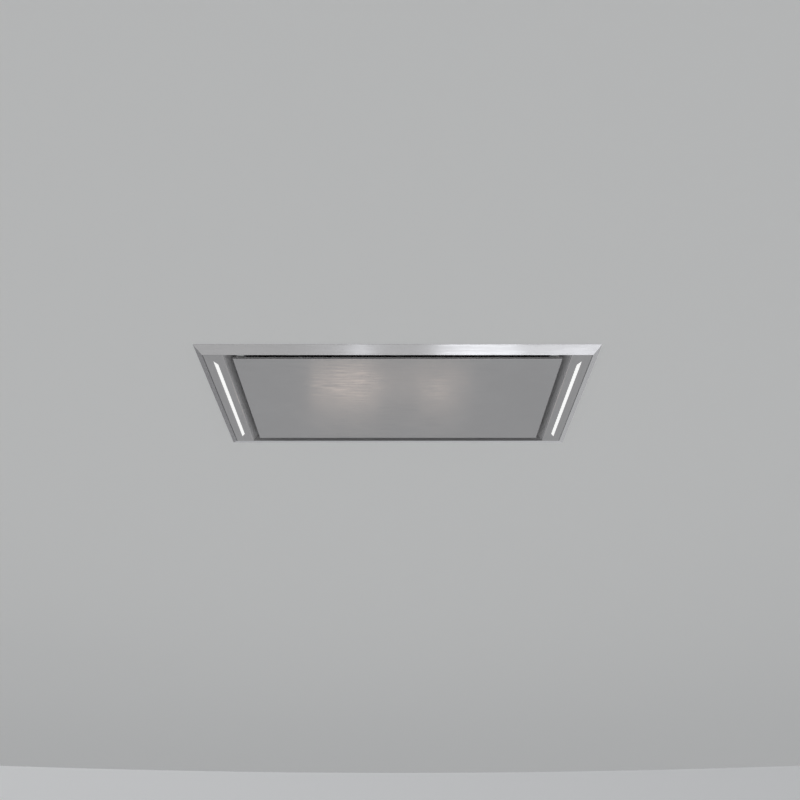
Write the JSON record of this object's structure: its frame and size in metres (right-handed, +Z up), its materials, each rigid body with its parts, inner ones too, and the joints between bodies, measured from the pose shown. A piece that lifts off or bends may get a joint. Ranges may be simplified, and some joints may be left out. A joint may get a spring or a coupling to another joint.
{
  "type": "ceiling range hood",
  "caption": "Flush ceiling hood: brushed steel underside with bevelled trim, light strips and a hinged suction panel, over a case with filters, blower and duct outlet.",
  "frame": {"origin": "centre of the hood on the ceiling plane, where the case flange lies against the ceiling", "axes": "+Z up into the ceiling, +X along the long side, -Y towards the cook, where the panel's hinge is"},
  "size_m": [0.9, 0.5, 0.343],
  "materials": {
    "brushed_stainless": "brushed along the long side, satin",
    "galvanised": "dull zinc with a faint spangle",
    "bracket_steel": "zinc plated",
    "spring_steel": "bright spring steel",
    "bright_steel": "bright zinc plated",
    "opal_lens": "opal, lit",
    "led_aluminium": "mill finish",
    "led_board": "white solder resist",
    "filter_aluminium": "natural anodised",
    "filter_mesh": "expanded mesh, pleated",
    "latch_plastic": "fine texture",
    "blower_plastic": "moulded, satin",
    "impeller_plastic": "moulded, satin",
    "motor_steel": "passivated sheet",
    "copper": "enamelled copper wire",
    "mount_rubber": "matt",
    "duct_plastic": "moulded, satin",
    "circuit_green": "solder resist",
    "terminal_white": "moulded",
    "capacitor_shell": "moulded",
    "gland_plastic": "moulded nylon",
    "lead_sheath": "sheathed lead",
    "catch_magnet": "coated magnet in a moulded holder"
  },
  "bodies": {
    "hood": {"housing_shell": "galvanised", "ceiling_frame": "brushed_stainless", "frame_clips": "spring_steel", "side_panel_left": "brushed_stainless", "side_panel_right": "brushed_stainless", "led_lens_left": "opal_lens", "led_lens_right": "opal_lens", "led_channels": "led_aluminium", "led_boards": "led_board", "filter_rail_front": "galvanised", "filter_rail_rear": "galvanised", "filter_frame_1": "filter_aluminium", "filter_mesh_1": "filter_mesh", "latch_spring_1": "spring_steel", "filter_frame_2": "filter_aluminium", "filter_mesh_2": "filter_mesh", "latch_spring_2": "spring_steel", "filter_frame_3": "filter_aluminium", "filter_mesh_3": "filter_mesh", "latch_spring_3": "spring_steel", "blower_chamber": "galvanised", "chamber_lid": "galvanised", "scroll_left": "blower_plastic", "scroll_right": "blower_plastic", "inlet_rings": "blower_plastic", "motor_can": "motor_steel", "motor_stator": "bracket_steel", "motor_windings": "copper", "motor_bearings": "bright_steel", "motor_bracket": "bracket_steel", "rubber_mounts": "mount_rubber", "outlet_spigot": "duct_plastic", "flap_pin": "bright_steel", "control_box": "galvanised", "control_lid": "galvanised", "control_board": "circuit_green", "terminal_block": "terminal_white", "run_capacitor": "capacitor_shell", "led_driver": "capacitor_shell", "cable_gland": "gland_plastic", "motor_lead": "lead_sheath", "hinge_brackets": "bracket_steel", "hinge_pins": "bright_steel", "catch_magnets": "catch_magnet", "hanger_brackets": "galvanised", "case_screws": "bright_steel", "light_panel_screws": "bright_steel"},
    "panel": {"panel_skin": "brushed_stainless", "panel_liner": "galvanised", "hinge_arms": "bracket_steel", "strike_plates": "bracket_steel"},
    "rotor": {"impeller": "impeller_plastic", "motor_shaft": "bright_steel", "motor_rotor": "bracket_steel"},
    "flap_front": {"check_flap_front": "duct_plastic"},
    "flap_rear": {"check_flap_rear": "duct_plastic"},
    "latch_1": {"filter_latch_1": "latch_plastic"},
    "latch_2": {"filter_latch_2": "latch_plastic"},
    "latch_3": {"filter_latch_3": "latch_plastic"}
  },
  "joints": [
    {"name": "panel_hinge", "type": "hinge", "parent": "hood", "child": "panel", "pos_m": [0, -0.2, 0.003], "axis": [-1, 0, 0], "range_deg": [0, 90]},
    {"name": "impeller_spin", "type": "hinge", "parent": "hood", "child": "rotor", "pos_m": [0, -0.03825, 0.169], "axis": [1, 0, 0], "continuous": true},
    {"name": "check_flap_front_hinge", "type": "hinge", "parent": "hood", "child": "flap_front", "pos_m": [0, 0.045, 0.305], "axis": [-1, 0, 0], "range_deg": [0, 75]},
    {"name": "check_flap_rear_hinge", "type": "hinge", "parent": "hood", "child": "flap_rear", "pos_m": [0, 0.045, 0.305], "axis": [1, 0, 0], "range_deg": [0, 75]},
    {"name": "filter_latch_1_slide", "type": "slide", "parent": "hood", "child": "latch_1", "axis": [0, 1, 0], "range_m": [0, 0.009], "stiffness_N_per_m": 300, "springref_m": -0.003, "deforming": ["latch_spring_1"]},
    {"name": "filter_latch_2_slide", "type": "slide", "parent": "hood", "child": "latch_2", "axis": [0, 1, 0], "range_m": [0, 0.009], "stiffness_N_per_m": 300, "springref_m": -0.003, "deforming": ["latch_spring_2"]},
    {"name": "filter_latch_3_slide", "type": "slide", "parent": "hood", "child": "latch_3", "axis": [0, 1, 0], "range_m": [0, 0.009], "stiffness_N_per_m": 300, "springref_m": -0.003, "deforming": ["latch_spring_3"]}
  ]
}
